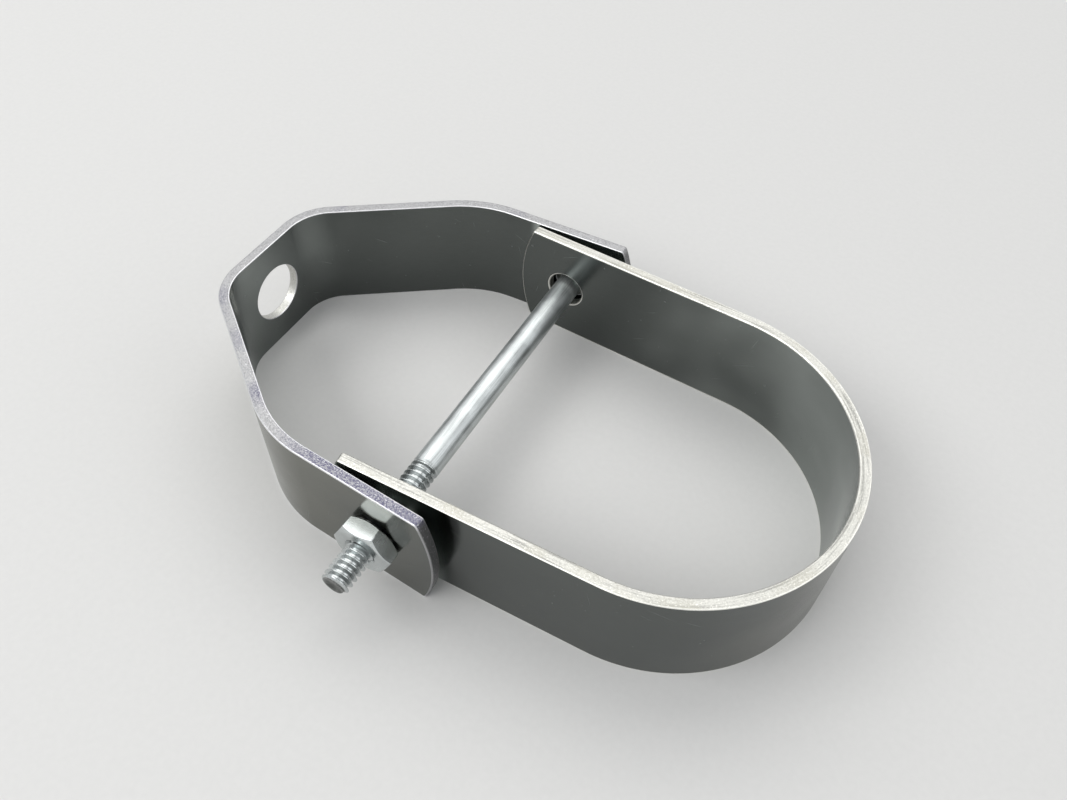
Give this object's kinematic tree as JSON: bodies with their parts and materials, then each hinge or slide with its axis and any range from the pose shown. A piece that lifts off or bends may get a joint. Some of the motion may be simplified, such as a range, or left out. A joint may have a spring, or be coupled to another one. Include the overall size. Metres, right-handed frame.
{
  "type": "adjustable clevis pipe hanger",
  "caption": "Light-duty clevis hanger: a bent steel yoke with a rod hole, and a strap that cradles a pipe and swings on a cross bolt with a nut.",
  "frame": {"origin": "centre of the rod hole, on the outer face of the yoke's flat top", "axes": "the hanger lies on its side as it rests: +X from the rod hole to the bottom of the pipe loop, +Y along the cross bolt towards its head, +Z across the strips, up from the bench"},
  "size_m": [0.115, 0.0834, 0.0226],
  "materials": {
    "zinc_strip": "zinc-plated mild steel strip, satin faces and bright sheared edges",
    "zinc_fastener": "bright blue-white zinc plating"
  },
  "bodies": {
    "yoke": {"yoke": "zinc_strip"},
    "strap": {"strap": "zinc_strip"},
    "bolt": {"cross_bolt": "zinc_fastener"},
    "nut": {"hex_nut": "zinc_fastener"}
  },
  "joints": [
    {"name": "strap_swing", "type": "hinge", "parent": "yoke", "child": "strap", "pos_m": [0.0493, 0, 0], "axis": [0, 1, 0], "range_deg": [-114, 114]},
    {"name": "bolt_turn", "type": "hinge", "parent": "yoke", "child": "bolt", "pos_m": [0.0493, 0, 0], "axis": [0, 1, 0], "range_deg": [0, 3350]},
    {"name": "nut_travel", "type": "slide", "parent": "yoke", "child": "nut", "axis": [0, -1, 0], "range_m": [0, 0.0099]}
  ],
  "couplings": [
    {"joint": "nut_travel", "follows": "bolt_turn", "m_per_rad": 0.00016845}
  ]
}
